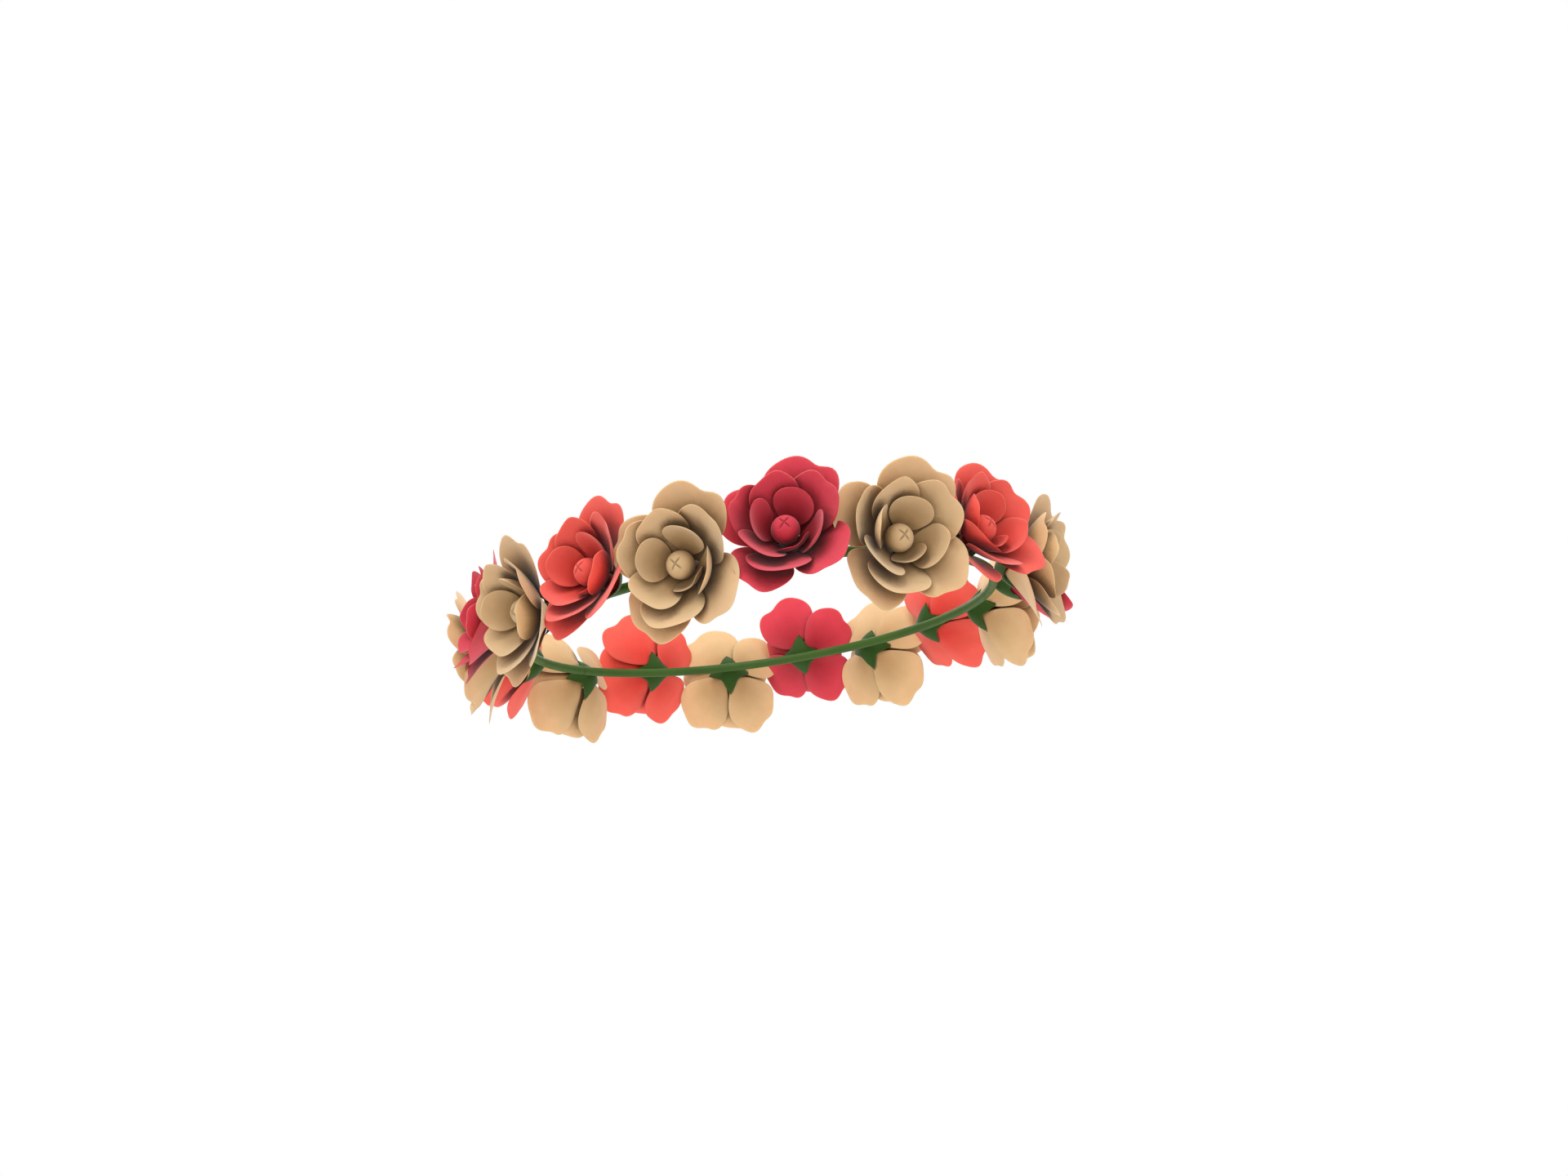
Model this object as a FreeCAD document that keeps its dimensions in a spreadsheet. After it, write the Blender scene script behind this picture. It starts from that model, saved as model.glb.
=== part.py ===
"""Flower crown: a closed oval ring of sleeved wire that carries eighteen foam flowers, in millimetres.

The ring lies in the XY plane with its centre at the origin. The long axis runs along Y, the front of
the head is towards -Y and +Z points up. Each flower looks outwards. It is a bud on a core with three
whorls of petals round it, a green star-shaped calyx behind them, and a pin that fixes it to the ring.
"""

import FreeCAD, Part
import math
import os

Vector = FreeCAD.Vector

# Driving dimensions: millimetres and degrees.
SIZES = {
    "ring_long": 96.0,  # half the oval's length along Y, on the tube's centre line
    "ring_wide": 81.5,  # half the oval's width along X
    "tube_outer": 3.6,
    "tube_bore": 2.5,
    "tube_gap": 0.2,  # between the tube's two ends, at the back of the head
    "wire_dia": 1.5,
    "wire_gap": 2.0,  # between the wire's two ends, inside the splice sleeve
    "sleeve_outer": 2.3,
    "sleeve_bore": 1.6,
    "sleeve_length": 12.0,
    "first_step": 0.75,  # first flower's place in flower spacings from the front, towards +X
    "petal_skin": 0.7,
    "root_radius": 3.4,  # where petals start, from the flower's axis
    "bud_radius": 4.8,
    "bud_centre": 16.4,
    "core_radius": 2.9,
    "core_start": 3.4,
    "crease_radius": 0.35,
    "crease_spread": 64.0,
    "crease_heading": 45.0,
    "calyx_reach": 9.0,
    "calyx_root": 3.0,
    "calyx_start": 2.0,
    "calyx_depth": 7.6,
    "calyx_lift": 1.0,  # from the cup's outside to its hollow, along the flower's axis
    "notch_radius": 19.0,
    "notch_place": 24.3,
    "pin_dia": 1.0,
    "pin_start": 0.85,
    "pin_end": 15.0,
}

# Flowers in order from the front of the head towards +X and round the ring: colour, degrees that the
# flower looks upwards, and degrees that it is turned along the ring.
FLOWERS = [
    ("beige", -4, 0),
    ("crimson", 17, 1),
    ("beige", -2, 4),
    ("coral", 17, 4),
    ("beige", -7, 5),
    ("crimson", 18, 5),
    ("beige", -8, 6),
    ("coral", 15, 6),
    ("beige", -9, 4),
    ("coral", 15, 0),
    ("beige", -4, -1),
    ("crimson", 17, -4),
    ("beige", -5, -4),
    ("coral", 14, -5),
    ("beige", -6, -2),
    ("crimson", 17, -3),
    ("beige", -2, -1),
    ("coral", 18, -4),
]

# Petals of one flower, seen from outside: whorl, heading from the ring's direction, half its spread
# round the axis, where it starts along the core, how far its tip stands from the axis, and the tip's
# height. Lobes and dips of the rim follow, each as its place across the petal from -1 to 1, its height
# as a share of the petal's length, and its own width.
PETALS = [
    ("outer", 147, 41, 5.7, 23.4, 17.0, [(0.45, 0.03, 0.25), (0.08, -0.03, 0.14), (-0.28, 0.03, 0.25)]),
    ("outer", 233, 43, 5.7, 24.0, 18.5, [(0.40, 0.07, 0.22), (0.02, -0.02, 0.14), (-0.60, -0.06, 0.28)]),
    ("outer", 67, 47, 7.0, 25.0, 21.5, [(0.20, 0.03, 0.26), (-0.20, -0.04, 0.16), (-0.56, 0.07, 0.26)]),
    ("outer", 320, 45, 7.0, 22.8, 21.5, [(-0.10, 0.06, 0.24), (-0.45, -0.02, 0.14), (-0.75, 0.06, 0.22)]),
    ("middle", 257, 44, 10.0, 19.8, 23.8, [(0.30, -0.02, 0.20), (-0.25, 0.05, 0.25)]),
    ("middle", 149, 43, 9.5, 18.2, 24.0, [(0.35, 0.03, 0.25), (-0.10, -0.04, 0.16), (-0.50, 0.03, 0.25)]),
    ("middle", 35, 45, 10.0, 19.0, 25.5, [(0.45, 0.05, 0.25), (0.05, -0.04, 0.16), (-0.45, 0.04, 0.25)]),
    ("middle", 103, 44, 10.5, 15.8, 26.0, [(-0.25, 0.05, 0.25), (0.35, -0.02, 0.20)]),
    ("middle", 222, 45, 10.7, 15.2, 24.5, [(-0.60, 0.06, 0.30), (0.20, -0.03, 0.25)]),
    ("inner", 338, 42, 11.7, 12.8, 25.0, [(0.35, 0.05, 0.30)]),
    ("inner", 295, 52, 12.6, 8.4, 19.5, [(0.60, 0.16, 0.35), (-0.10, -0.05, 0.25)]),
    ("inner", 162, 46, 12.9, 10.6, 26.0, [(0.20, 0.03, 0.30)]),
    ("inner", 65, 44, 12.6, 11.3, 24.5, [(-0.20, 0.03, 0.40)]),
]

# Size of a flower's petals by its colour, as a share of the table's sizes.
PETAL_SIZES = {"beige": 1.05, "coral": 1.0, "crimson": 1.0}

# How each whorl bows: the bend point as shares of the tip's reach and rise, how square the outline
# is, and how much higher one edge of a petal lies than its middle, so that it overlaps the next one.
WHORLS = {
    "outer": (0.36, 0.53, 2.3, 0.0),
    "middle": (0.62, 0.36, 2.3, 0.5),
    "inner": (0.98, 0.20, 2.4, 0.4),
}

# Where a petal's cross-sections lie along it, and where their points lie across it.
ALONG = [0.03, 0.12, 0.28, 0.45, 0.62, 0.78, 0.90, 0.965, 0.995]
ACROSS = [-1, -0.75, -0.4, 0, 0.4, 0.75, 1]
EDGE_THINNING = 0.4
END_STEP = 0.001


def make_sheet(doc):
    """The spreadsheet that holds the driving dimensions, one aliased cell for each."""
    sheet = doc.addObject("Spreadsheet::Sheet", "Dimensions")
    for row, (name, value) in enumerate(SIZES.items(), start=1):
        sheet.set(f"A{row}", name)
        sheet.set(f"B{row}", str(value))
        sheet.setAlias(f"B{row}", name)
    doc.recompute()
    return sheet


def oval_point(sheet, angle):
    """Point and unit direction on the oval, at an angle in radians from the front towards +X."""
    place = Vector(sheet.ring_wide * math.sin(angle), -sheet.ring_long * math.cos(angle), 0)
    along = Vector(sheet.ring_wide * math.cos(angle), sheet.ring_long * math.sin(angle), 0)
    along.normalize()
    return place, along


def even_angles(sheet):
    """Angles on the oval, one for each flower, that divide its length into equal parts."""
    steps = 3600
    lengths = [0.0]
    last, _ = oval_point(sheet, 0)
    for step in range(1, steps + 1):
        place, _ = oval_point(sheet, 2 * math.pi * step / steps)
        lengths.append(lengths[-1] + (place - last).Length)
        last = place
    angles = []
    for number in range(len(FLOWERS)):
        wanted = lengths[-1] * (number + sheet.first_step) / len(FLOWERS)
        step = next(i for i, length in enumerate(lengths) if length >= wanted)
        angles.append(2 * math.pi * step / steps)
    return angles


def flower_placement(sheet, angle, tilt, turn):
    """A flower's frame: X along the ring, Z outwards along its axis, which is tilted up and turned."""
    place, along = oval_point(sheet, angle)
    side = FreeCAD.Rotation(Vector(0, 0, 1), turn).multVec(along)
    outward = side.cross(Vector(0, 0, 1))
    axis = outward * math.cos(math.radians(tilt)) + Vector(0, 0, math.sin(math.radians(tilt)))
    return FreeCAD.Placement(place, FreeCAD.Rotation(side, axis.cross(side), axis, "ZXY"))


def oval_rod(doc, sheet, name, diameter, length, all_round):
    """A round rod on the oval: a short length at the back of the head, or all but that length."""
    ends = [
        f"Dimensions.{length} / 2 / Dimensions.ring_wide * 1rad",
        f"360deg - Dimensions.{length} / 2 / Dimensions.ring_wide * 1rad",
    ]
    half_turn = sheet.get(length) / 2 / sheet.ring_wide
    if not all_round:
        ends.reverse()
        half_turn = -half_turn
    path = doc.addObject("Part::Ellipse", f"{name}_path")
    path.setExpression("MajorRadius", "Dimensions.ring_long * 1mm")
    path.setExpression("MinorRadius", "Dimensions.ring_wide * 1mm")
    path.setExpression("Angle1", ends[0])
    path.setExpression("Angle2", ends[1])
    path.Placement = FreeCAD.Placement(Vector(), FreeCAD.Rotation(Vector(0, 0, 1), 90))
    start, along = oval_point(sheet, math.pi + half_turn)
    section = doc.addObject("Part::Circle", f"{name}_section")
    section.setExpression("Radius", f"Dimensions.{diameter} / 2 * 1mm")
    section.Placement = FreeCAD.Placement(start, FreeCAD.Rotation(Vector(0, 0, 1), along))
    rod = doc.addObject("Part::Sweep", name)
    rod.Sections = [section]
    rod.Spine = (path, ["Edge1"])
    rod.Solid = True
    rod.Frenet = True
    return rod


def make_cut(doc, name, base, tool):
    """The base piece with the tool taken away."""
    cut = doc.addObject("Part::Cut", name)
    cut.Base = base
    cut.Tool = tool
    return cut


def petal_point(petal, across, along, lift, root_radius):
    """A point on a petal's bowl, lifted off its middle surface towards the flower's axis."""
    whorl, heading, spread, start, reach, top, lobes = petal
    bend_out, bend_up, _, lean = WHORLS[whorl]
    growth = sum(height * math.exp(-(((across - place) / width) ** 2)) for place, height, width in lobes)
    share = along * (1 + growth * along**2)
    bend_radius = root_radius + bend_out * (reach - root_radius)
    bend_height = start + bend_up * (top - start)
    left = 1 - share
    radius = left**2 * root_radius + 2 * left * share * bend_radius + share**2 * reach
    height = left**2 * start + 2 * left * share * bend_height + share**2 * top
    run = left * (bend_radius - root_radius) + share * (reach - bend_radius)
    rise = left * (bend_height - start) + share * (top - bend_height)
    slope = math.atan2(rise, run)
    lift += lean * across * along
    radius -= lift * math.sin(slope)
    angle = math.radians(heading + spread * across)
    return Vector(radius * math.cos(angle), radius * math.sin(angle), height + lift * math.cos(slope))


def petal_section(petal, along, root_radius, skin):
    """One closed cross-section of a petal: a thin crescent with soft edges, flat at both ends."""
    squareness = WHORLS[petal[0]][2]
    half_width = (1 - abs(2 * along - 1) ** squareness) ** (1 / squareness)
    rows = []
    for side in (-1, 1):
        points = []
        for step in ACROSS:
            lift = side * skin / 2 * (1 - EDGE_THINNING * step * step)
            points.append(petal_point(petal, side * step * half_width, along, lift, root_radius))
        rows.append(points)
    if along in (ALONG[0], ALONG[-1]):
        middle = petal_point(petal, 0, along, 0, root_radius)
        ahead = petal_point(petal, 0, along + END_STEP, 0, root_radius) - middle
        ahead.normalize()
        rows = [[point - ahead * (point - middle).dot(ahead) for point in points] for points in rows]
    edges = []
    for points in rows:
        curve = Part.BSplineCurve()
        curve.interpolate(Points=points)
        edges.append(curve.toShape())
    edges.insert(1, Part.LineSegment(rows[0][-1], rows[1][0]).toShape())
    edges.append(Part.LineSegment(rows[1][-1], rows[0][0]).toShape())
    return Part.Wire(edges)


def make_petals(doc, sheet, name, place, size):
    """All petals of one flower: lofted solids that start round its core, scaled to the flower's size."""
    solids = []
    for petal in PETALS:
        wires = [petal_section(petal, along, sheet.root_radius, sheet.petal_skin) for along in ALONG]
        solids.append(Part.makeLoft(wires, True, False))
    petals = doc.addObject("Part::Feature", name)
    petals.Shape = Part.makeCompound(solids).scaled(size, Vector())
    petals.Placement = place
    return petals


def make_bore(doc, name, height):
    """A cylinder on the flower's axis that cuts the hole for its pin."""
    bore = doc.addObject("Part::Cylinder", f"{name}_bore")
    bore.setExpression("Radius", "Dimensions.pin_dia / 2 * 1mm")
    bore.setExpression("Height", f"Dimensions.{height} * 1mm")
    return bore


def make_bud(doc, name, place):
    """The round bud on its core, with a cross-shaped crease at the tip and a bore for the pin."""
    ball = doc.addObject("Part::Sphere", f"{name}_ball")
    ball.setExpression("Radius", "Dimensions.bud_radius * 1mm")
    ball.setExpression("Placement.Base.z", "Dimensions.bud_centre * 1mm")
    core = doc.addObject("Part::Cylinder", f"{name}_core")
    core.setExpression("Radius", "Dimensions.core_radius * 1mm")
    core.setExpression("Height", "(Dimensions.bud_centre - Dimensions.core_start) * 1mm")
    core.setExpression("Placement.Base.z", "Dimensions.core_start * 1mm")
    whole = doc.addObject("Part::Fuse", f"{name}_whole")
    whole.Base = ball
    whole.Tool = core
    tools = [make_bore(doc, name, "pin_end")]
    on_edge = FreeCAD.Rotation(Vector(1, 0, 0), 90)
    to_tip = FreeCAD.Rotation(Vector(0, 0, 1), 90 - SIZES["crease_spread"] / 2)
    for number in range(2):
        crease = doc.addObject("Part::Torus", f"{name}_crease_{number}")
        crease.setExpression("Radius1", "Dimensions.bud_radius * 1mm")
        crease.setExpression("Radius2", "Dimensions.crease_radius * 1mm")
        crease.setExpression("Angle3", "Dimensions.crease_spread * 1deg")
        heading = FreeCAD.Rotation(Vector(0, 0, 1), SIZES["crease_heading"] + 90 * number)
        crease.Placement = FreeCAD.Placement(Vector(), heading.multiply(on_edge).multiply(to_tip))
        crease.setExpression("Placement.Base.z", "Dimensions.bud_centre * 1mm")
        tools.append(crease)
    cutters = doc.addObject("Part::MultiFuse", f"{name}_cutters")
    cutters.Shapes = tools
    bud = make_cut(doc, name, whole, cutters)
    bud.Placement = place
    return bud


def make_cup(doc, name, start):
    """The cone that gives the calyx its outside or, started further along the axis, its hollow."""
    cup = doc.addObject("Part::Cone", name)
    cup.setExpression("Radius1", "Dimensions.calyx_root * 1mm")
    cup.setExpression("Radius2", "Dimensions.calyx_reach * 1mm")
    cup.setExpression("Height", "Dimensions.calyx_depth * 1mm")
    cup.setExpression("Placement.Base.z", f"({start}) * 1mm")
    return cup


def make_calyx(doc, name, place):
    """The green cup behind the petals, cut by four round notches into a star with four points."""
    outside = make_cup(doc, f"{name}_outside", "Dimensions.calyx_start")
    hollow = make_cup(doc, f"{name}_hollow", "Dimensions.calyx_start + Dimensions.calyx_lift")
    tools = [hollow, make_bore(doc, name, "calyx_depth")]
    for number in range(4):
        heading = math.radians(45 + 90 * number)
        notch = doc.addObject("Part::Cylinder", f"{name}_notch_{number}")
        notch.setExpression("Radius", "Dimensions.notch_radius * 1mm")
        notch.setExpression("Height", "Dimensions.calyx_depth * 3mm")
        notch.setExpression("Placement.Base.x", f"Dimensions.notch_place * {math.cos(heading):.6f} * 1mm")
        notch.setExpression("Placement.Base.y", f"Dimensions.notch_place * {math.sin(heading):.6f} * 1mm")
        tools.append(notch)
    cutters = doc.addObject("Part::MultiFuse", f"{name}_cutters")
    cutters.Shapes = tools
    calyx = make_cut(doc, name, outside, cutters)
    calyx.Placement = place
    return calyx


def make_pins(doc, name, places):
    """Straight pins, one for each flower, from the tube's bore into the bud's core."""
    pins = []
    for number, place in enumerate(places, start=1):
        pin = doc.addObject("Part::Cylinder", f"{name}_{number:02d}")
        pin.setExpression("Radius", "Dimensions.pin_dia / 2 * 1mm")
        pin.setExpression("Height", "(Dimensions.pin_end - Dimensions.pin_start) * 1mm")
        step = place.Rotation.multVec(Vector(0, 0, SIZES["pin_start"]))
        pin.Placement = FreeCAD.Placement(place.Base + step, place.Rotation)
        pins.append(pin)
    group = doc.addObject("Part::Compound", name)
    group.Links = pins
    return group


def main():
    doc = FreeCAD.newDocument("flower_crown")
    sheet = make_sheet(doc)
    places = [
        flower_placement(sheet, angle, tilt, turn)
        for angle, (_, tilt, turn) in zip(even_angles(sheet), FLOWERS)
    ]
    pieces = {}

    tube_bar = oval_rod(doc, sheet, "tube_bar", "tube_outer", "tube_gap", True)
    tube_hollow = oval_rod(doc, sheet, "tube_hollow", "tube_bore", "tube_gap", True)
    tube = make_cut(doc, "tube_plain", tube_bar, tube_hollow)
    pieces["ring_tube"] = make_cut(doc, "ring_tube", tube, make_pins(doc, "pin_holes", places))
    pieces["core_wire"] = oval_rod(doc, sheet, "core_wire", "wire_dia", "wire_gap", True)
    sleeve_bar = oval_rod(doc, sheet, "sleeve_bar", "sleeve_outer", "sleeve_length", False)
    sleeve_hollow = oval_rod(doc, sheet, "sleeve_hollow", "sleeve_bore", "sleeve_length", False)
    pieces["splice_sleeve"] = make_cut(doc, "splice_sleeve", sleeve_bar, sleeve_hollow)
    pieces["flower_pins"] = make_pins(doc, "flower_pins", places)
    for number, (place, (colour, _, _)) in enumerate(zip(places, FLOWERS), start=1):
        flower = f"flower_{number:02d}"
        size = PETAL_SIZES[colour]
        pieces[f"{flower}_petals"] = make_petals(doc, sheet, f"{flower}_petals", place, size)
        pieces[f"{flower}_bud"] = make_bud(doc, f"{flower}_bud", place)
        pieces[f"{flower}_calyx"] = make_calyx(doc, f"{flower}_calyx", place)

    doc.recompute()
    for item in doc.Objects:
        if "Invalid" in item.State or "Error" in item.State:
            raise RuntimeError(f"{item.Name} did not rebuild: {item.State}")
    os.makedirs("parts", exist_ok=True)
    for name, piece in pieces.items():
        piece.Label = name
        if piece.Shape.isNull() or not piece.Shape.isValid():
            raise RuntimeError(f"{name} has no valid shape")
        piece.Shape.exportStep(f"parts/{name}.step")


main()
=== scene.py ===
"""Flower crown: foam flowers in three colours on a green sleeved ring, in metres.

Each flower is built once in its own frame, in millimetres: X runs along the ring, Y up and Z outwards
along the flower's axis. It is then set at its place on the oval ring.
"""
import math

import bpy
import numpy as np
from mathutils import Matrix, Vector
from mathutils.bvhtree import BVHTree


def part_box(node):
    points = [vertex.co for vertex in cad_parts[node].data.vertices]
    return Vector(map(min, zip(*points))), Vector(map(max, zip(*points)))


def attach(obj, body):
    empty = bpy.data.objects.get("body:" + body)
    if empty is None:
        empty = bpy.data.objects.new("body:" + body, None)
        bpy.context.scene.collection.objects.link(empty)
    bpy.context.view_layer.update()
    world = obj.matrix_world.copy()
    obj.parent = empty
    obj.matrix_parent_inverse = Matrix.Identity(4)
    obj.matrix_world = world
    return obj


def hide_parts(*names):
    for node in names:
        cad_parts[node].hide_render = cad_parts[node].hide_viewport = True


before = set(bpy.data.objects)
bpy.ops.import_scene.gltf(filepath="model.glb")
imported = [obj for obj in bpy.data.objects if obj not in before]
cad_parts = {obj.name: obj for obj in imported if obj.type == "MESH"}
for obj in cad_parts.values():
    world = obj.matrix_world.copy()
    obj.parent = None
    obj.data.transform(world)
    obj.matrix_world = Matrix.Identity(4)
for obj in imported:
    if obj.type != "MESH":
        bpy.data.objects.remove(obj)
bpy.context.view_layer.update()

MM = 0.001

# Flowers in order from the front of the head towards +X and round the ring: colour, degrees that the
# flower looks upwards, and degrees that it is turned along the ring.
FLOWERS = [
    ("beige", -4, 0),
    ("crimson", 17, 1),
    ("beige", -2, 4),
    ("coral", 17, 4),
    ("beige", -7, 5),
    ("crimson", 18, 5),
    ("beige", -8, 6),
    ("coral", 15, 6),
    ("beige", -9, 4),
    ("coral", 15, 0),
    ("beige", -4, -1),
    ("crimson", 17, -4),
    ("beige", -5, -4),
    ("coral", 14, -5),
    ("beige", -6, -2),
    ("crimson", 17, -3),
    ("beige", -2, -1),
    ("coral", 18, -4),
]
FIRST_STEP = 0.75  # first flower's place, in flower spacings from the front

# The ring: the tube's box gives the oval and the tube's thickness.
TUBE_LOW, TUBE_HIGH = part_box("ring_tube")
TUBE = TUBE_HIGH.z - TUBE_LOW.z
RING_WIDE = (TUBE_HIGH.x - TUBE_LOW.x - TUBE) / 2
RING_LONG = (TUBE_HIGH.y - TUBE_LOW.y - TUBE) / 2

# One flower, in millimetres. Petals start this far from the axis and have this skin.
PETAL_ROOT = 3.4
PETAL_SKIN = 0.55
RIM_THINNING = 0.5  # how much of the skin's thickness is gone just before the rounded rim
RIM_ROUNDING = 16  # the higher, the tighter the rim is rounded
RIPPLES = 4
RIPPLE_TURN = 7  # turns the ripples by another amount on each petal, from its heading

# Petals of one flower, seen from outside: whorl, heading from the ring's direction, half its spread
# round the axis, where it starts along the core, how far its tip stands from the axis, and the tip's
# height. Lobes and dips of the rim follow, each as its place across the petal from -1 to 1, its height
# as a share of the petal's length, and its own width.
PETALS = [
    ("outer", 147, 41, 5.7, 23.4, 17.0, [(0.45, 0.03, 0.25), (0.08, -0.03, 0.14), (-0.28, 0.03, 0.25)]),
    ("outer", 233, 43, 5.7, 24.0, 18.5, [(0.40, 0.07, 0.22), (0.02, -0.02, 0.14), (-0.60, -0.06, 0.28)]),
    ("outer", 67, 47, 7.0, 25.0, 21.5, [(0.20, 0.03, 0.26), (-0.20, -0.04, 0.16), (-0.56, 0.07, 0.26)]),
    ("outer", 320, 45, 7.0, 22.8, 21.5, [(-0.10, 0.06, 0.24), (-0.45, -0.02, 0.14), (-0.75, 0.06, 0.22)]),
    ("middle", 257, 44, 10.0, 19.8, 23.8, [(0.30, -0.02, 0.20), (-0.25, 0.05, 0.25)]),
    ("middle", 149, 43, 9.5, 18.2, 24.0, [(0.35, 0.03, 0.25), (-0.10, -0.04, 0.16), (-0.50, 0.03, 0.25)]),
    ("middle", 35, 45, 10.0, 19.0, 25.5, [(0.45, 0.05, 0.25), (0.05, -0.04, 0.16), (-0.45, 0.04, 0.25)]),
    ("middle", 103, 44, 10.5, 15.8, 26.0, [(-0.25, 0.05, 0.25), (0.35, -0.02, 0.20)]),
    ("middle", 222, 45, 10.7, 15.2, 24.5, [(-0.60, 0.06, 0.30), (0.20, -0.03, 0.25)]),
    ("inner", 338, 42, 11.7, 12.8, 25.0, [(0.35, 0.05, 0.30)]),
    ("inner", 295, 52, 12.6, 8.4, 19.5, [(0.60, 0.16, 0.35), (-0.10, -0.05, 0.25)]),
    ("inner", 162, 46, 12.9, 10.6, 26.0, [(0.20, 0.03, 0.30)]),
    ("inner", 65, 44, 12.6, 11.3, 24.5, [(-0.20, 0.03, 0.40)]),
]

# Size of a flower's petals by its colour, as a share of the table's sizes.
PETAL_SIZES = {"beige": 1.05, "coral": 1.0, "crimson": 1.0}

# How each whorl bows: the bend point as shares of the tip's reach and rise, how square the outline
# is, and how much higher one edge of a petal lies than its middle, so that it overlaps the next one.
WHORLS = {
    "outer": (0.36, 0.53, 2.3, 0.0),
    "middle": (0.62, 0.36, 2.3, 0.5),
    "inner": (0.98, 0.20, 2.4, 0.4),
}

# How far a whorl's rims flare outwards, and how far they ripple, in millimetres.
RIMS = {"outer": (0.35, 0.4), "middle": (0.25, 0.3), "inner": (0.15, 0.15)}

# Points of a petal's mesh: rings from its middle to its rim, and points round each ring.
RINGS = [0.0, 0.18, 0.36, 0.54, 0.70, 0.82, 0.90, 0.95, 0.98, 1.0]
SPOKES = 84

# The bud on its core, and the crossed crease at its tip.
BUD_RADIUS = 4.8
BUD_CENTRE = 16.4
BUD_TURNS = 120
BUD_ROWS = 72
CORE_RADIUS = 2.9
CORE_START = 3.4
CORE_EDGE = 0.3
CREASE_DEPTH = 0.42
CREASE_WIDTH = 0.36
CREASE_HEADINGS = (48, 132)
CREASE_SPREAD = 42.0  # degrees from the tip to where the crease has faded
CREASE_HOLD = 2.2  # the higher, the longer the crease stays deep before it fades
BUD_RIM = 0.4  # the bud's rim shade: at the start of the paler rim, so the bud gets none of the painted rim light

# Rays from each point that measure how open it lies, their start off the surface and their reach.
OPEN_RAYS = 20
OPEN_STEP = 0.08
OPEN_REACH = 16.0
GOLDEN_ANGLE = math.radians(137.5)

# The calyx, a cup with four points.
CALYX_TIP = 9.0
CALYX_HOLLOW = 1.0  # how far the sides are drawn in between two points
CALYX_START = 2.0
CALYX_DEPTH = 7.6
CALYX_BOW = 1.5  # 1 is a straight cone, and higher is flatter at the middle
CALYX_SKIN = 0.7
CALYX_SLANT = 1.2  # the skin along the flower's axis, as a share of the skin square to its surface
CALYX_ROUNDING = 10  # the higher, the tighter the edge is rounded
CALYX_TURNS = 96
CALYX_STEPS = 14

# The tube: its rounds of points along the oval, the points round it, and the gap between its ends.
TUBE_STEPS = 600
TUBE_TURNS = 28
TUBE_GAP = 0.2 * MM
OVAL_STEPS = 3600  # for measuring the oval's length

FRONT_PAINTED_SHADE = (0.86, 0.88, 0.92)  # a petal's front against its back; the lighter back is painted light, for light that shines through the foam

# Each foam: its colour in painted shade, towards a petal's root and where other parts cover it, its main
# colour, its colour at the rim, which is painted light, and how dark the painted shade gets in the most
# covered places.
FOAMS = {
    "beige": ((0.42, 0.24, 0.092), (0.70, 0.47, 0.24), (0.80, 0.58, 0.33), 0.4),
    "coral": ((0.60, 0.025, 0.015), (0.86, 0.11, 0.08), (0.92, 0.21, 0.16), 0.4),
    "crimson": ((0.29, 0.007, 0.013), (0.64, 0.046, 0.070), (0.76, 0.11, 0.14), 0.4),
    "green": ((0.034, 0.094, 0.009), (0.050, 0.135, 0.013), (0.058, 0.15, 0.017), 0.85),
}
SLEEVE_DARK = (0.032, 0.080, 0.008)
SLEEVE_LIGHT = (0.045, 0.105, 0.012)
STEEL = (0.60, 0.60, 0.61)

# How fine the materials' noise is, in cells for each metre.
FOAM_BLOTCHES, FOAM_DENTS, FOAM_SHINE, FOAM_CELLS = 160, 260, 500, 3800
SLEEVE_DRIFT, SLEEVE_SHINE, SLEEVE_DENTS, SLEEVE_SPECKS = 45, 420, 900, 2600
STEEL_TONES, STEEL_SHINE, STEEL_STREAKS = 700, 1500, 3000
FLOOR_DRIFT = 3

SURROUNDINGS = 0.95  # light from all round; the camera sees plain white
FLOOR_RADIUS = 0.75
FLOOR_HEIGHT = -0.4
LAMPS = (  # name, place, size and power
    ("key", (-0.5, -0.2, 0.9), 0.6, 7.0),
    ("fill", (-0.7, -0.7, -0.2), 0.8, 1.5),
    ("back", (0.6, 0.8, 0.4), 0.8, 5.0),
)

# The camera: its direction and distance from the ring's centre, how far it aims beside that centre, as
# shares of the distance, its roll, and its lens and sensor in millimetres.
CAMERA_AZIMUTH, CAMERA_ELEVATION = -51.55, -13.06
CAMERA_DISTANCE = 0.6139
CAMERA_RIGHT, CAMERA_UP = 0.0199, 0.0178
CAMERA_ROLL = 6.50
CAMERA_LENS, CAMERA_SENSOR = 36.39, 36


def oval_place(angle):
    """Point, unit direction along the ring and outward direction, at an angle from the front."""
    place = Vector((RING_WIDE * math.sin(angle), -RING_LONG * math.cos(angle), 0))
    along = Vector((RING_WIDE * math.cos(angle), RING_LONG * math.sin(angle), 0)).normalized()
    return place, along, along.cross(Vector((0, 0, 1)))


def even_angles(count, first):
    """Angles that divide the oval's length into equal parts, starting after a share of one part."""
    angles = np.linspace(0, 2 * math.pi, OVAL_STEPS + 1)
    across = RING_WIDE * np.sin(angles)
    along = RING_LONG * np.cos(angles)
    lengths = np.concatenate([[0], np.cumsum(np.hypot(np.diff(across), np.diff(along)))])
    wanted = (np.arange(count) + first) / count * lengths[-1]
    return np.interp(wanted, lengths, angles)


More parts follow.
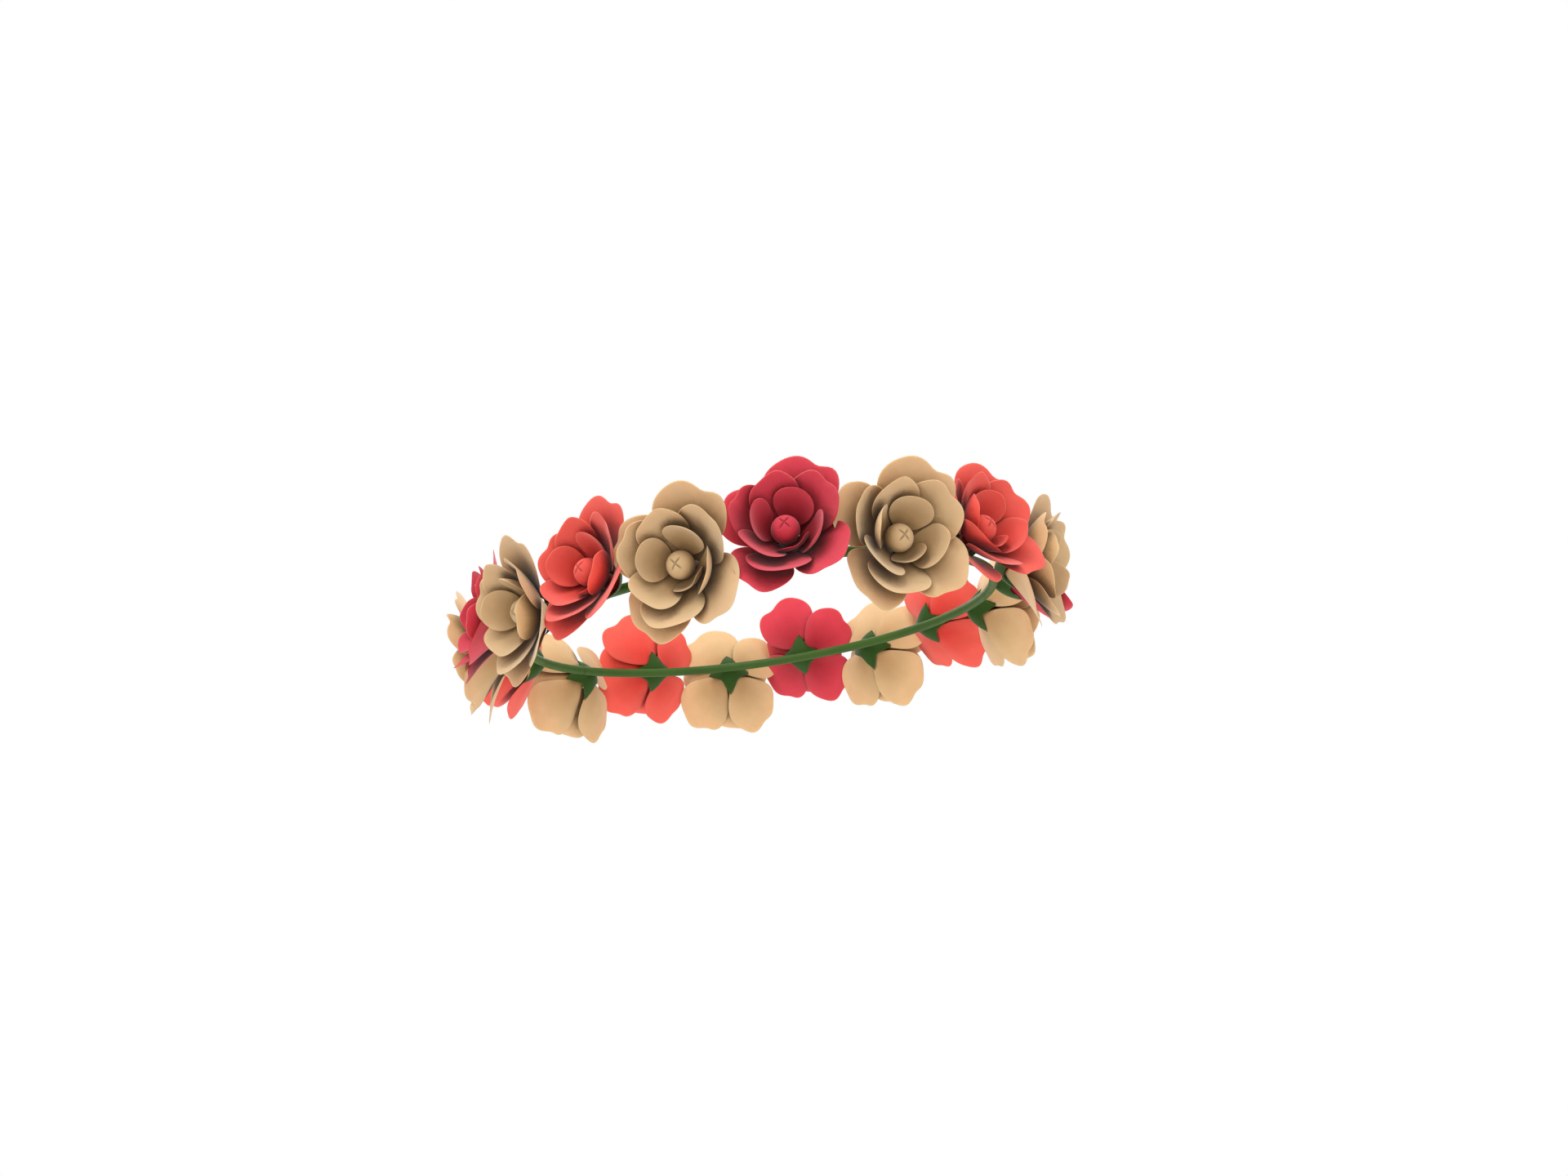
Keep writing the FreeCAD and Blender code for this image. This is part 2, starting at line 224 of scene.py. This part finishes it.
def flower_matrix(angle, tilt, turn):
    """Sets a flower that is modelled in millimetres at its place on the ring, in metres."""
    place, along = oval_place(angle)[:2]
    side = Matrix.Rotation(math.radians(turn), 3, "Z") @ along
    outward = side.cross(Vector((0, 0, 1)))
    axis = outward * math.cos(math.radians(tilt)) + Vector((0, 0, math.sin(math.radians(tilt))))
    turned = Matrix((side, axis.cross(side), axis)).transposed().to_4x4()
    return Matrix.Translation(place) @ turned @ Matrix.Scale(MM, 4)


def make_mesh(name, points, faces, shades=None):
    """A smooth-shaded mesh object. Shades are named values, one for each point."""
    mesh = bpy.data.meshes.new(name)
    mesh.from_pydata([tuple(p) for p in points], [], faces)
    mesh.validate()
    mesh.shade_smooth()
    for shade_name, values in (shades or {}).items():
        layer = mesh.attributes.new(shade_name, "FLOAT", "POINT")
        layer.data.foreach_set("value", np.asarray(values, np.float32))
    piece = bpy.data.objects.new(name, mesh)
    bpy.context.scene.collection.objects.link(piece)
    return piece


def finish_piece(piece, material, slot, *nodes):
    """Gives a piece its material and its place in the frame."""
    piece.data.materials.clear()
    piece.data.materials.append(material)
    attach(piece, "root")
    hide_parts(*nodes)


def bowl_points(petal, across, along, lift):
    """Points on a petal's bowl, lifted off its middle surface towards the flower's axis."""
    whorl, heading, spread, start, reach, top, lobes = petal
    bend_out, bend_up, _, lean = WHORLS[whorl]
    growth = sum(rise * np.exp(-(((across - place) / width) ** 2)) for place, rise, width in lobes)
    share = along * (1 + growth * along**2)
    bend_radius = PETAL_ROOT + bend_out * (reach - PETAL_ROOT)
    bend_height = start + bend_up * (top - start)
    left = 1 - share
    radius = left**2 * PETAL_ROOT + 2 * left * share * bend_radius + share**2 * reach
    height = left**2 * start + 2 * left * share * bend_height + share**2 * top
    run = left * (bend_radius - PETAL_ROOT) + share * (reach - bend_radius)
    rise = left * (bend_height - start) + share * (top - bend_height)
    slope = np.arctan2(rise, run)
    lift = lift + lean * across * along
    radius = radius - lift * np.sin(slope)
    angle = np.radians(heading + spread * across)
    height = height + lift * np.cos(slope)
    return np.stack([radius * np.cos(angle), radius * np.sin(angle), height], axis=-1)


def petal_points(petal):
    """Both skins of one petal as rings of points, and how near each is to the rim and to the tip."""
    whorl, heading = petal[:2]
    squareness = WHORLS[whorl][2]
    flare, ripple = RIMS[whorl]
    around = np.linspace(-math.pi, math.pi, SPOKES, endpoint=False)
    sine, cosine = np.sin(around), np.cos(around)
    stretch = (np.abs(sine) ** squareness + np.abs(cosine) ** squareness) ** (-1 / squareness)
    rings = np.array(RINGS[1:])[:, None]
    across = np.concatenate([[0.0], (rings * sine * stretch).ravel()])
    along = np.concatenate([[0.5], (0.5 + 0.5 * rings * cosine * stretch).ravel()])
    rim = np.concatenate([[0.0], np.repeat(RINGS[1:], SPOKES)])
    phase = np.concatenate([[0.0], np.tile(around, len(RINGS) - 1)])
    tipward = np.clip(along, 0, 1) ** 1.5
    waves = ripple * np.sin(RIPPLES * phase + math.radians(heading * RIPPLE_TURN)) * rim**4
    bend = (waves - flare * rim**5) * tipward
    thick = PETAL_SKIN / 2 * (1 - RIM_THINNING * rim**4) * np.sqrt(1 - rim**RIM_ROUNDING)
    inner = bowl_points(petal, across, along, bend + thick)
    outer = bowl_points(petal, across, along, bend - thick)
    return inner, outer, rim, along


def petal_faces(start):
    """Faces of one petal whose points begin at start: inner skin, then the outer skin's own points."""
    spokes = range(SPOKES)
    last = len(RINGS) - 2
    faces = []
    for skin in (0, 1):
        centre = start if skin == 0 else start + 1 + (last + 1) * SPOKES

        def at(ring, spoke):
            if ring == last:
                return start + 1 + ring * SPOKES + spoke % SPOKES
            return centre + 1 + ring * SPOKES + spoke % SPOKES

        for spoke in spokes:
            fan = [centre, at(0, spoke), at(0, spoke + 1)]
            faces.append(fan if skin == 0 else fan[::-1])
        for ring in range(last):
            for spoke in spokes:
                near = [at(ring, spoke), at(ring + 1, spoke)]
                far = [at(ring + 1, spoke + 1), at(ring, spoke + 1)]
                faces.append(near + far if skin == 0 else (near + far)[::-1])
    return faces


def flower_petals():
    """Points, faces and shades of all petals of one flower."""
    points, faces, rims, shares, backs = [], [], [], [], []
    for petal in PETALS:
        inner, outer, rim, share = petal_points(petal)
        faces += petal_faces(sum(len(p) for p in points))
        points += [inner, outer[: -SPOKES]]
        rims += [rim, rim[: -SPOKES]]
        shares += [share, share[: -SPOKES]]
        backs += [np.zeros(len(rim)), np.ones(len(rim) - SPOKES)]
    shades = {"rim": rims, "share": shares, "back": backs}
    shades = {name: np.concatenate(values) for name, values in shades.items()}
    return np.concatenate(points), faces, shades


def lathe(profile, turns):
    """Points and faces of a closed round shape from (radius, height) steps, from axis to axis."""
    points = [(0, 0, profile[0][1])]
    for radius, height in profile[1:-1]:
        for turn in range(turns):
            angle = 2 * math.pi * turn / turns
            points.append((radius * math.cos(angle), radius * math.sin(angle), height))
    points.append((0, 0, profile[-1][1]))
    rows = len(profile) - 2
    top = len(points) - 1
    faces = []
    for turn in range(turns):
        after = (turn + 1) % turns
        faces.append([0, 1 + after, 1 + turn])
        for row in range(rows - 1):
            low, high = 1 + row * turns, 1 + (row + 1) * turns
            faces.append([low + turn, low + after, high + after, high + turn])
        faces.append([1 + (rows - 1) * turns + turn, 1 + (rows - 1) * turns + after, top])
    return np.array(points, float), faces


def flower_bud():
    """The bud on its core, with a soft cross-shaped crease at the tip."""
    neck = math.asin(CORE_RADIUS / BUD_RADIUS)
    profile = [(0, CORE_START), (CORE_RADIUS, CORE_START), (CORE_RADIUS, CORE_START + CORE_EDGE)]
    for step in range(BUD_ROWS + 1):
        angle = neck + (math.pi - neck) * step / BUD_ROWS
        profile.append((BUD_RADIUS * math.sin(angle), BUD_CENTRE - BUD_RADIUS * math.cos(angle)))
    profile[-1] = (0, BUD_CENTRE + BUD_RADIUS)
    points, faces = lathe(profile, BUD_TURNS)
    centre = np.array([0, 0, BUD_CENTRE])
    out = (points - centre) / np.linalg.norm(points - centre, axis=1)[:, None]
    from_tip = np.degrees(np.arccos(np.clip(out[:, 2], -1, 1)))
    fade = np.clip(CREASE_HOLD * (1 - from_tip / CREASE_SPREAD), 0, 1)
    crease = np.zeros(len(points))
    for heading in CREASE_HEADINGS:
        turn = math.radians(heading)
        beside = BUD_RADIUS * (out[:, 0] * math.sin(turn) - out[:, 1] * math.cos(turn))
        crease = np.maximum(crease, fade * np.exp(-((beside / CREASE_WIDTH) ** 2)))
    points = points - out * (CREASE_DEPTH * crease)[:, None]
    # The crease also marks where the bud's colour is darkened: painted shade in the crease.
    shades = {"rim": np.full(len(points), BUD_RIM), "share": np.ones(len(points)), "crease": crease}
    return points, faces, shades


def flower_calyx():
    """The cupped star with four rounded points behind the petals."""
    angles = np.linspace(0, 2 * math.pi, CALYX_TURNS, endpoint=False)
    from_diagonal = (angles % (math.pi / 2)) - math.pi / 4
    straight = CALYX_TIP * math.cos(math.pi / 4) / np.cos(from_diagonal)
    star = straight - CALYX_HOLLOW * np.cos(2 * from_diagonal) ** 2
    inner, outer, rims = [], [], []
    for step in range(CALYX_STEPS + 1):
        rim = step / CALYX_STEPS
        radius = star * rim
        height = CALYX_START + CALYX_SKIN / 2 + CALYX_DEPTH * (radius / CALYX_TIP) ** CALYX_BOW
        thick = CALYX_SKIN / 2 * math.sqrt(1 - rim**CALYX_ROUNDING)
        flat = [radius * np.cos(angles), radius * np.sin(angles)]
        for skin, sign in ((inner, 1), (outer, -1)):
            skin.append(np.stack([*flat, height + sign * thick * CALYX_SLANT], -1))
        rims.append(np.full(CALYX_TURNS, rim))
    points = np.concatenate(inner + outer[::-1])
    faces = []
    for row in range(len(points) // CALYX_TURNS - 1):
        for turn in range(CALYX_TURNS):
            after = (turn + 1) % CALYX_TURNS
            low, high = row * CALYX_TURNS, (row + 1) * CALYX_TURNS
            faces.append([low + turn, low + after, high + after, high + turn])
    return points, faces, {"rim": np.concatenate(rims + rims[::-1]), "share": np.ones(len(points))}


def add_openness(parts):
    """Adds an "open" shade to each part: how freely light reaches each point among all the parts."""
    points, faces = [], []
    for part_points, part_faces, _ in parts.values():
        start = len(points)
        points += [tuple(point) for point in part_points]
        faces += [[start + corner for corner in face] for face in part_faces]
    tree = BVHTree.FromPolygons(points, faces)
    turns = np.arange(OPEN_RAYS) * GOLDEN_ANGLE
    lean = np.sqrt((np.arange(OPEN_RAYS) + 0.5) / OPEN_RAYS)
    spread = [lean * np.cos(turns), lean * np.sin(turns), np.sqrt(1 - lean**2)]
    rays = [Vector(ray) for ray in np.stack(spread, -1)]
    for name, (part_points, part_faces, shades) in parts.items():
        mesh = bpy.data.meshes.new(f"{name}_probe")
        mesh.from_pydata([tuple(point) for point in part_points], [], part_faces)
        opens = []
        for vertex in mesh.vertices:
            upright = vertex.normal.to_track_quat("Z", "Y")
            start = vertex.co + vertex.normal * OPEN_STEP
            shut = 0.0
            for ray in rays:
                distance = tree.ray_cast(start, upright @ ray, OPEN_REACH)[3]
                shut += 0 if distance is None else 1 - distance / OPEN_REACH
            opens.append(1 - shut / OPEN_RAYS)
        shades["open"] = np.array(opens)
        bpy.data.meshes.remove(mesh)


def ring_tube():
    """The green sleeve round the whole oval, with a fine butt joint at the back of the head."""
    gap = TUBE_GAP / 2 / RING_WIDE
    points, faces = [], []
    for step in range(TUBE_STEPS + 1):
        angle = math.pi + gap + (2 * math.pi - 2 * gap) * step / TUBE_STEPS
        place, _, outward = oval_place(angle)
        for turn in range(TUBE_TURNS):
            around = 2 * math.pi * turn / TUBE_TURNS
            offset = outward * math.cos(around) + Vector((0, 0, 1)) * math.sin(around)
            points.append(place + offset * TUBE / 2)
    for step in range(TUBE_STEPS):
        for turn in range(TUBE_TURNS):
            after = (turn + 1) % TUBE_TURNS
            low, high = step * TUBE_TURNS, (step + 1) * TUBE_TURNS
            faces.append([low + turn, high + turn, high + after, low + after])
    faces.append(list(range(TUBE_TURNS)))
    faces.append([TUBE_STEPS * TUBE_TURNS + turn for turn in range(TUBE_TURNS)][::-1])
    return points, faces


def new_material(name):
    """A node material with a Principled shader, as material, nodes, links and shader."""
    material = bpy.data.materials.new(name)
    material.use_nodes = True
    nodes = material.node_tree.nodes
    return material, nodes, material.node_tree.links, nodes["Principled BSDF"]


def add_noise(nodes, links, scale, detail, roughness=0.5):
    """Three-dimensional noise in object space; scale is in cells for each metre."""
    place = nodes.new("ShaderNodeTexCoord")
    noise = nodes.new("ShaderNodeTexNoise")
    noise.inputs["Scale"].default_value = scale
    noise.inputs["Detail"].default_value = detail
    noise.inputs["Roughness"].default_value = roughness
    links.new(place.outputs["Object"], noise.inputs["Vector"])
    return noise.outputs["Fac"]


def add_ramp(nodes, links, source, stops):
    """A colour ramp from (place, value) stops, where a value is a grey level or a colour."""
    ramp = nodes.new("ShaderNodeValToRGB")
    while len(ramp.color_ramp.elements) < len(stops):
        ramp.color_ramp.elements.new(0.5)
    for element, (place, value) in zip(ramp.color_ramp.elements, stops):
        element.position = place
        element.color = (*value, 1) if isinstance(value, tuple) else (value, value, value, 1)
    links.new(source, ramp.inputs["Fac"])
    return ramp.outputs["Color"]


def mix_colour(nodes, links, factor, first, second, mode="MIX"):
    """Mixes two colours; factor and colours are sockets or plain values."""
    mix = nodes.new("ShaderNodeMix")
    mix.data_type = "RGBA"
    mix.blend_type = mode
    for socket, value in ((mix.inputs[0], factor), (mix.inputs[6], first), (mix.inputs[7], second)):
        if isinstance(value, bpy.types.NodeSocket):
            links.new(value, socket)
        elif isinstance(value, tuple):
            socket.default_value = (*value, 1)
        else:
            socket.default_value = value
    return mix.outputs[2]


def add_bump(nodes, links, height, strength, distance, under=None):
    """A bump from a height, on top of another normal if one is given."""
    bump = nodes.new("ShaderNodeBump")
    bump.inputs["Strength"].default_value = strength
    bump.inputs["Distance"].default_value = distance
    links.new(height, bump.inputs["Height"])
    if under is not None:
        links.new(under, bump.inputs["Normal"])
    return bump.outputs["Normal"]


def add_shade(nodes, name):
    """A shade that the mesh holds for each of its points."""
    shade = nodes.new("ShaderNodeAttribute")
    shade.attribute_name = name
    return shade.outputs["Fac"]


def foam_material(name, shade_tone, main, pale, dimmest):
    """Matte craft foam with a closed-cell grain, and painted light and shade: darker towards the root,
    where it is covered and in the bud's crease, paler at the rim, and its back lighter than its front.
    """
    material, nodes, links, shader = new_material(name)
    share = add_shade(nodes, "share")
    rim = add_shade(nodes, "rim")
    lit = add_shade(nodes, "open")
    crease = add_shade(nodes, "crease")
    back = add_shade(nodes, "back")
    # Painted shade: darker towards the petal's root, deep in the flower.
    along = add_ramp(nodes, links, share, [(0.1, shade_tone), (0.8, main), (1.0, main)])
    # Painted light: paler towards the rim.
    edge = add_ramp(nodes, links, rim, [(0.4, 0.0), (1.0, 0.2)])
    colour = mix_colour(nodes, links, edge, along, pale)
    # Painted shade where other parts cover the point and keep light away: towards the shade colour, then
    # dimmed.
    cover_shade = add_ramp(nodes, links, lit, [(0.25, 1.0), (0.9, 0.0)])
    colour = mix_colour(nodes, links, cover_shade, colour, shade_tone)
    cover_dimming = add_ramp(nodes, links, lit, [(0.2, dimmest), (0.75, 1.0)])
    colour = mix_colour(nodes, links, 1.0, colour, cover_dimming, "MULTIPLY")
    # Painted shade in the bud's crease.
    crease_shade = add_ramp(nodes, links, crease, [(0.1, 1.0), (0.9, 0.6)])
    colour = mix_colour(nodes, links, 1.0, colour, crease_shade, "MULTIPLY")
    # Painted light: a petal's back is lighter than its front, for light that shines through the foam.
    face = add_ramp(nodes, links, back, [(0.0, FRONT_PAINTED_SHADE), (1.0, 1.0)])
    colour = mix_colour(nodes, links, 1.0, colour, face, "MULTIPLY")
    blotch = add_ramp(nodes, links, add_noise(nodes, links, FOAM_BLOTCHES, 3), [(0.3, 0.93), (0.7, 1.0)])
    colour = mix_colour(nodes, links, 1.0, colour, blotch, "MULTIPLY")
    cells = add_noise(nodes, links, FOAM_CELLS, 2, 0.7)
    speck = add_ramp(nodes, links, cells, [(0.35, 0.96), (0.65, 1.0)])
    colour = mix_colour(nodes, links, 1.0, colour, speck, "MULTIPLY")
    links.new(colour, shader.inputs["Base Color"])
    rough = add_ramp(nodes, links, add_noise(nodes, links, FOAM_SHINE, 3), [(0.2, 0.68), (0.8, 0.86)])
    links.new(rough, shader.inputs["Roughness"])
    shader.inputs["Specular IOR Level"].default_value = 0.12
    shader.inputs["Sheen Weight"].default_value = 0.18
    shader.inputs["Sheen Roughness"].default_value = 0.45
    shader.inputs["Subsurface Weight"].default_value = 0.35
    shader.inputs["Subsurface Radius"].default_value = (1.0, 0.5, 0.3)
    shader.inputs["Subsurface Scale"].default_value = 1.2 * MM
    soft = add_bump(nodes, links, add_noise(nodes, links, FOAM_DENTS, 2), 0.25, 0.35 * MM)
    links.new(add_bump(nodes, links, cells, 0.35, 0.05 * MM, soft), shader.inputs["Normal"])
    return material


def sleeve_material(name, dark, light):
    """Soft satin vinyl sleeve with faint drawn streaks and slight colour drift."""
    material, nodes, links, shader = new_material(name)
    drift = add_ramp(nodes, links, add_noise(nodes, links, SLEEVE_DRIFT, 4), [(0.3, dark), (0.7, light)])
    speck = add_ramp(nodes, links, add_noise(nodes, links, SLEEVE_SPECKS, 2), [(0.3, 0.93), (0.7, 1.0)])
    links.new(mix_colour(nodes, links, 1.0, drift, speck, "MULTIPLY"), shader.inputs["Base Color"])
    rough = add_ramp(nodes, links, add_noise(nodes, links, SLEEVE_SHINE, 3), [(0.25, 0.42), (0.75, 0.58)])
    links.new(rough, shader.inputs["Roughness"])
    shader.inputs["Specular IOR Level"].default_value = 0.2
    dents = add_bump(nodes, links, add_noise(nodes, links, SLEEVE_DENTS, 3), 0.3, 0.08 * MM)
    links.new(dents, shader.inputs["Normal"])
    return material


def steel_material(name, colour):
    """Drawn steel wire: fine streaks in roughness and bump."""
    material, nodes, links, shader = new_material(name)
    dull = tuple(0.85 * channel for channel in colour)
    tone = add_ramp(nodes, links, add_noise(nodes, links, STEEL_TONES, 4), [(0.3, dull), (0.7, colour)])
    links.new(tone, shader.inputs["Base Color"])
    shader.inputs["Metallic"].default_value = 1.0
    rough = add_ramp(nodes, links, add_noise(nodes, links, STEEL_SHINE, 3), [(0.2, 0.25), (0.8, 0.42)])
    links.new(rough, shader.inputs["Roughness"])
    streaks = add_bump(nodes, links, add_noise(nodes, links, STEEL_STREAKS, 2), 0.2, 0.03 * MM)
    links.new(streaks, shader.inputs["Normal"])
    return material


def make_flowers():
    """All flowers: petals, bud and calyx of each as pieces that stand for their CAD nodes."""
    foams = {colour: foam_material(f"foam_{colour}", *tones) for colour, tones in FOAMS.items()}
    parts = {"petals": flower_petals(), "bud": flower_bud(), "calyx": flower_calyx()}
    add_openness(parts)
    angles = even_angles(len(FLOWERS), FIRST_STEP)
    for number, (angle, (colour, tilt, turn)) in enumerate(zip(angles, FLOWERS), start=1):
        matrix = flower_matrix(angle, tilt, turn)
        for part, (points, faces, shades) in parts.items():
            node = f"flower_{number:02d}_{part}"
            size = PETAL_SIZES[colour] if part == "petals" else 1.0
            piece = make_mesh(f"{node}_look", points * size, faces, shades)
            piece.data.transform(matrix)
            foam = "green" if part == "calyx" else colour
            finish_piece(piece, foams[foam], f"foam_{foam}", node)


def make_ring():
    """The sleeve as a smooth piece, and metal finishes on the wire, splice and pins that stay CAD."""
    points, faces = ring_tube()
    piece = make_mesh("ring_tube_look", points, faces)
    sleeve = sleeve_material("sleeve_green", SLEEVE_DARK, SLEEVE_LIGHT)
    finish_piece(piece, sleeve, "ring_sleeve_green", "ring_tube")
    steel = steel_material("drawn_steel", STEEL)
    for node in ("core_wire", "splice_sleeve", "flower_pins"):
        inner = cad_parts[node]
        inner.data.materials.clear()
        inner.data.materials.append(steel)


def make_floor():
    """Pale floor well below the crown."""
    bpy.ops.mesh.primitive_circle_add(
        vertices=96, radius=FLOOR_RADIUS, fill_type="NGON", location=(0, 0, FLOOR_HEIGHT)
    )
    floor = bpy.context.object
    floor.name = "floor"
    material, nodes, links, shader = new_material("floor_pale")
    tone = add_ramp(nodes, links, add_noise(nodes, links, FLOOR_DRIFT, 3), [(0.3, 0.90), (0.7, 0.94)])
    links.new(tone, shader.inputs["Base Color"])
    shader.inputs["Roughness"].default_value = 0.9
    floor.data.materials.append(material)


def make_surroundings():
    """White light from all round."""
    world = bpy.data.worlds.new("studio")
    world.use_nodes = True
    background = world.node_tree.nodes["Background"]
    background.inputs["Color"].default_value = (1, 1, 1, 1)
    seen = world.node_tree.nodes.new("ShaderNodeLightPath")
    strength = world.node_tree.nodes.new("ShaderNodeMapRange")
    strength.inputs["To Min"].default_value = SURROUNDINGS
    world.node_tree.links.new(seen.outputs["Is Camera Ray"], strength.inputs["Value"])
    world.node_tree.links.new(strength.outputs["Result"], background.inputs["Strength"])
    bpy.context.scene.world = world


def make_lamps():
    """Soft square lamps that look at the crown."""
    for name, place, size, power in LAMPS:
        lamp = bpy.data.lights.new(name, "AREA")
        lamp.size = size
        lamp.energy = power
        holder = bpy.data.objects.new(name, lamp)
        holder.location = place
        holder.rotation_euler = (-Vector(place)).to_track_quat("-Z", "Y").to_euler()
        bpy.context.scene.collection.objects.link(holder)


def make_camera():
    """The camera looks up at the crown from below and in front of its side."""
    azimuth, elevation = math.radians(CAMERA_AZIMUTH), math.radians(CAMERA_ELEVATION)
    level = math.cos(elevation)
    back = Vector((math.sin(azimuth) * level, -math.cos(azimuth) * level, math.sin(elevation)))
    right = (-back).cross(Vector((0, 0, 1))).normalized()
    up = right.cross(-back)
    forward = (-back + CAMERA_RIGHT * right + CAMERA_UP * up).normalized()
    right = forward.cross(Vector((0, 0, 1))).normalized()
    up = right.cross(forward)
    roll = math.radians(CAMERA_ROLL)
    rolled_right = math.cos(roll) * right - math.sin(roll) * up
    rolled_up = math.sin(roll) * right + math.cos(roll) * up
    data = bpy.data.cameras.new("camera")
    data.sensor_width = CAMERA_SENSOR
    data.lens = CAMERA_LENS
    camera = bpy.data.objects.new("camera", data)
    facing = Matrix((rolled_right, rolled_up, -forward)).transposed().to_4x4()
    camera.matrix_world = Matrix.Translation(back * CAMERA_DISTANCE) @ facing
    bpy.context.scene.collection.objects.link(camera)
    bpy.context.scene.camera = camera


make_camera()
make_floor()
make_surroundings()
make_lamps()
make_ring()
make_flowers()
bpy.context.scene.view_settings.view_transform = "Standard"
bpy.context.view_layer.update()
